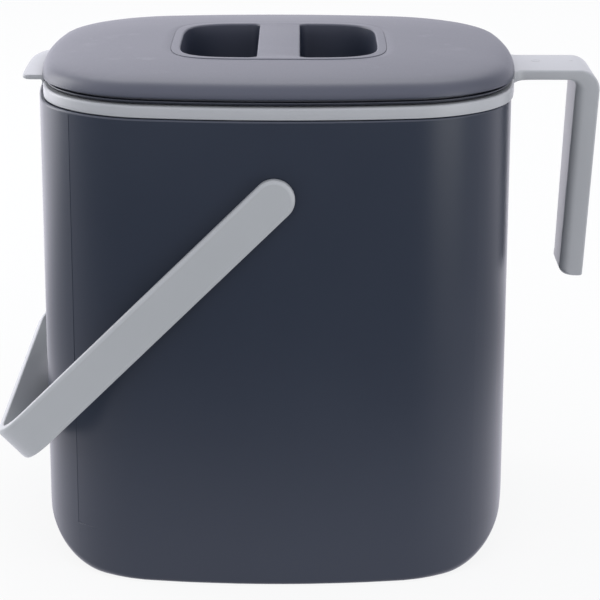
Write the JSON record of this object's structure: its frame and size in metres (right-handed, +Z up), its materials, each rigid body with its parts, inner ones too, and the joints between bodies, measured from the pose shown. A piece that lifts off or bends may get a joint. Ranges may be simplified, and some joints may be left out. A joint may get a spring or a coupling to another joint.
{
  "type": "compost caddy",
  "caption": "Countertop compost caddy: rounded outer shell with swinging carry handle, lift-out bucket with side handle and tab, and lift-off lid with sunk grip.",
  "frame": {"origin": "middle of the base, on the counter, centred under the outer shell", "axes": "+X towards the side handle, +Y to the rear, +Z up"},
  "size_m": [0.2753, 0.2024, 0.2344],
  "materials": {
    "shell_plastic": "fine satin slate",
    "handle_plastic": "fine satin light grey",
    "cap_plastic": "fine satin slate",
    "bucket_plastic": "fine satin light grey",
    "lid_plastic": "fine satin slate",
    "liner_plastic": "satin slate",
    "seal_rubber": "silicone rubber",
    "grip_plastic": "satin slate"
  },
  "bodies": {
    "shell": {"outer_shell": "shell_plastic"},
    "handle": {"bail_handle": "handle_plastic", "pivot_cap_front": "cap_plastic", "pivot_cap_rear": "cap_plastic"},
    "bucket": {"inner_bucket": "bucket_plastic", "bucket_rim": "bucket_plastic", "side_handle": "bucket_plastic"},
    "lid": {"lid_cover": "lid_plastic", "lid_liner": "liner_plastic", "lid_skirt": "liner_plastic", "lid_seal": "seal_rubber", "grip_insert": "grip_plastic"}
  },
  "joints": [
    {"name": "handle_swing", "type": "hinge", "parent": "shell", "child": "handle", "pos_m": [0, 0, 0.1815], "axis": [0, 1, 0], "range_deg": [0, 269.1]},
    {"name": "bucket_lift", "type": "slide", "parent": "shell", "child": "bucket", "axis": [0, 0, 1], "range_m": [0, 0.23]},
    {"name": "lid_lift", "type": "slide", "parent": "bucket", "child": "lid", "axis": [0, 0, 1], "range_m": [0, 0.06]}
  ]
}
